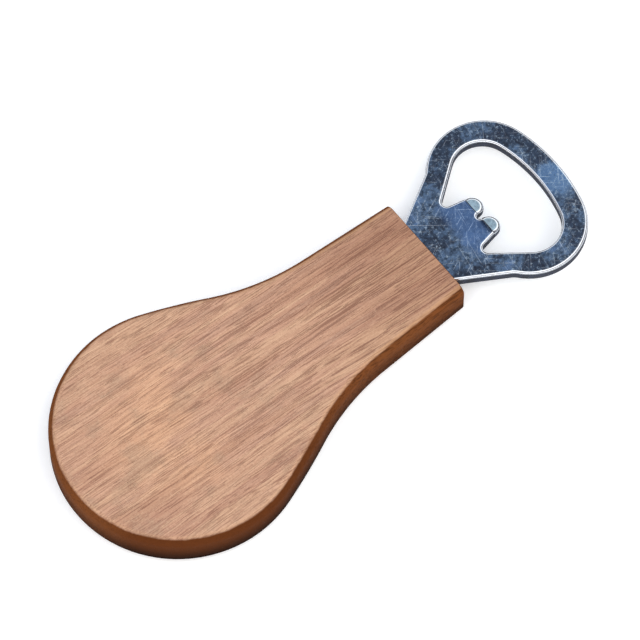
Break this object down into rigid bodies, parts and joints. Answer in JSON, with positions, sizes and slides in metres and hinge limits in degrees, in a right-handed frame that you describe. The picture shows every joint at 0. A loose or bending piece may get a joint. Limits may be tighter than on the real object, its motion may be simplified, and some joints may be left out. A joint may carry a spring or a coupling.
{
  "type": "souvenir bottle opener",
  "caption": "Flat wooden handle with a round end, and a forked steel loop glued into its neck that levers crown caps off bottles.",
  "frame": {"origin": "on the back plane, under the middle of the overall length and width", "axes": "+X along the handle towards the steel head, +Y across it, +Z out of the front face; it lies on its back"},
  "size_m": [0.1306, 0.055, 0.01],
  "materials": {
    "handle_wood": "sanded and oiled, satin",
    "plated_steel": "bright plating over stamped steel, fingermarked and scratched",
    "epoxy": "cured clear amber glue"
  },
  "bodies": {
    "root": {"wooden_handle": "handle_wood", "opener_blade": "plated_steel", "epoxy_bond": "epoxy"}
  },
  "joints": []
}
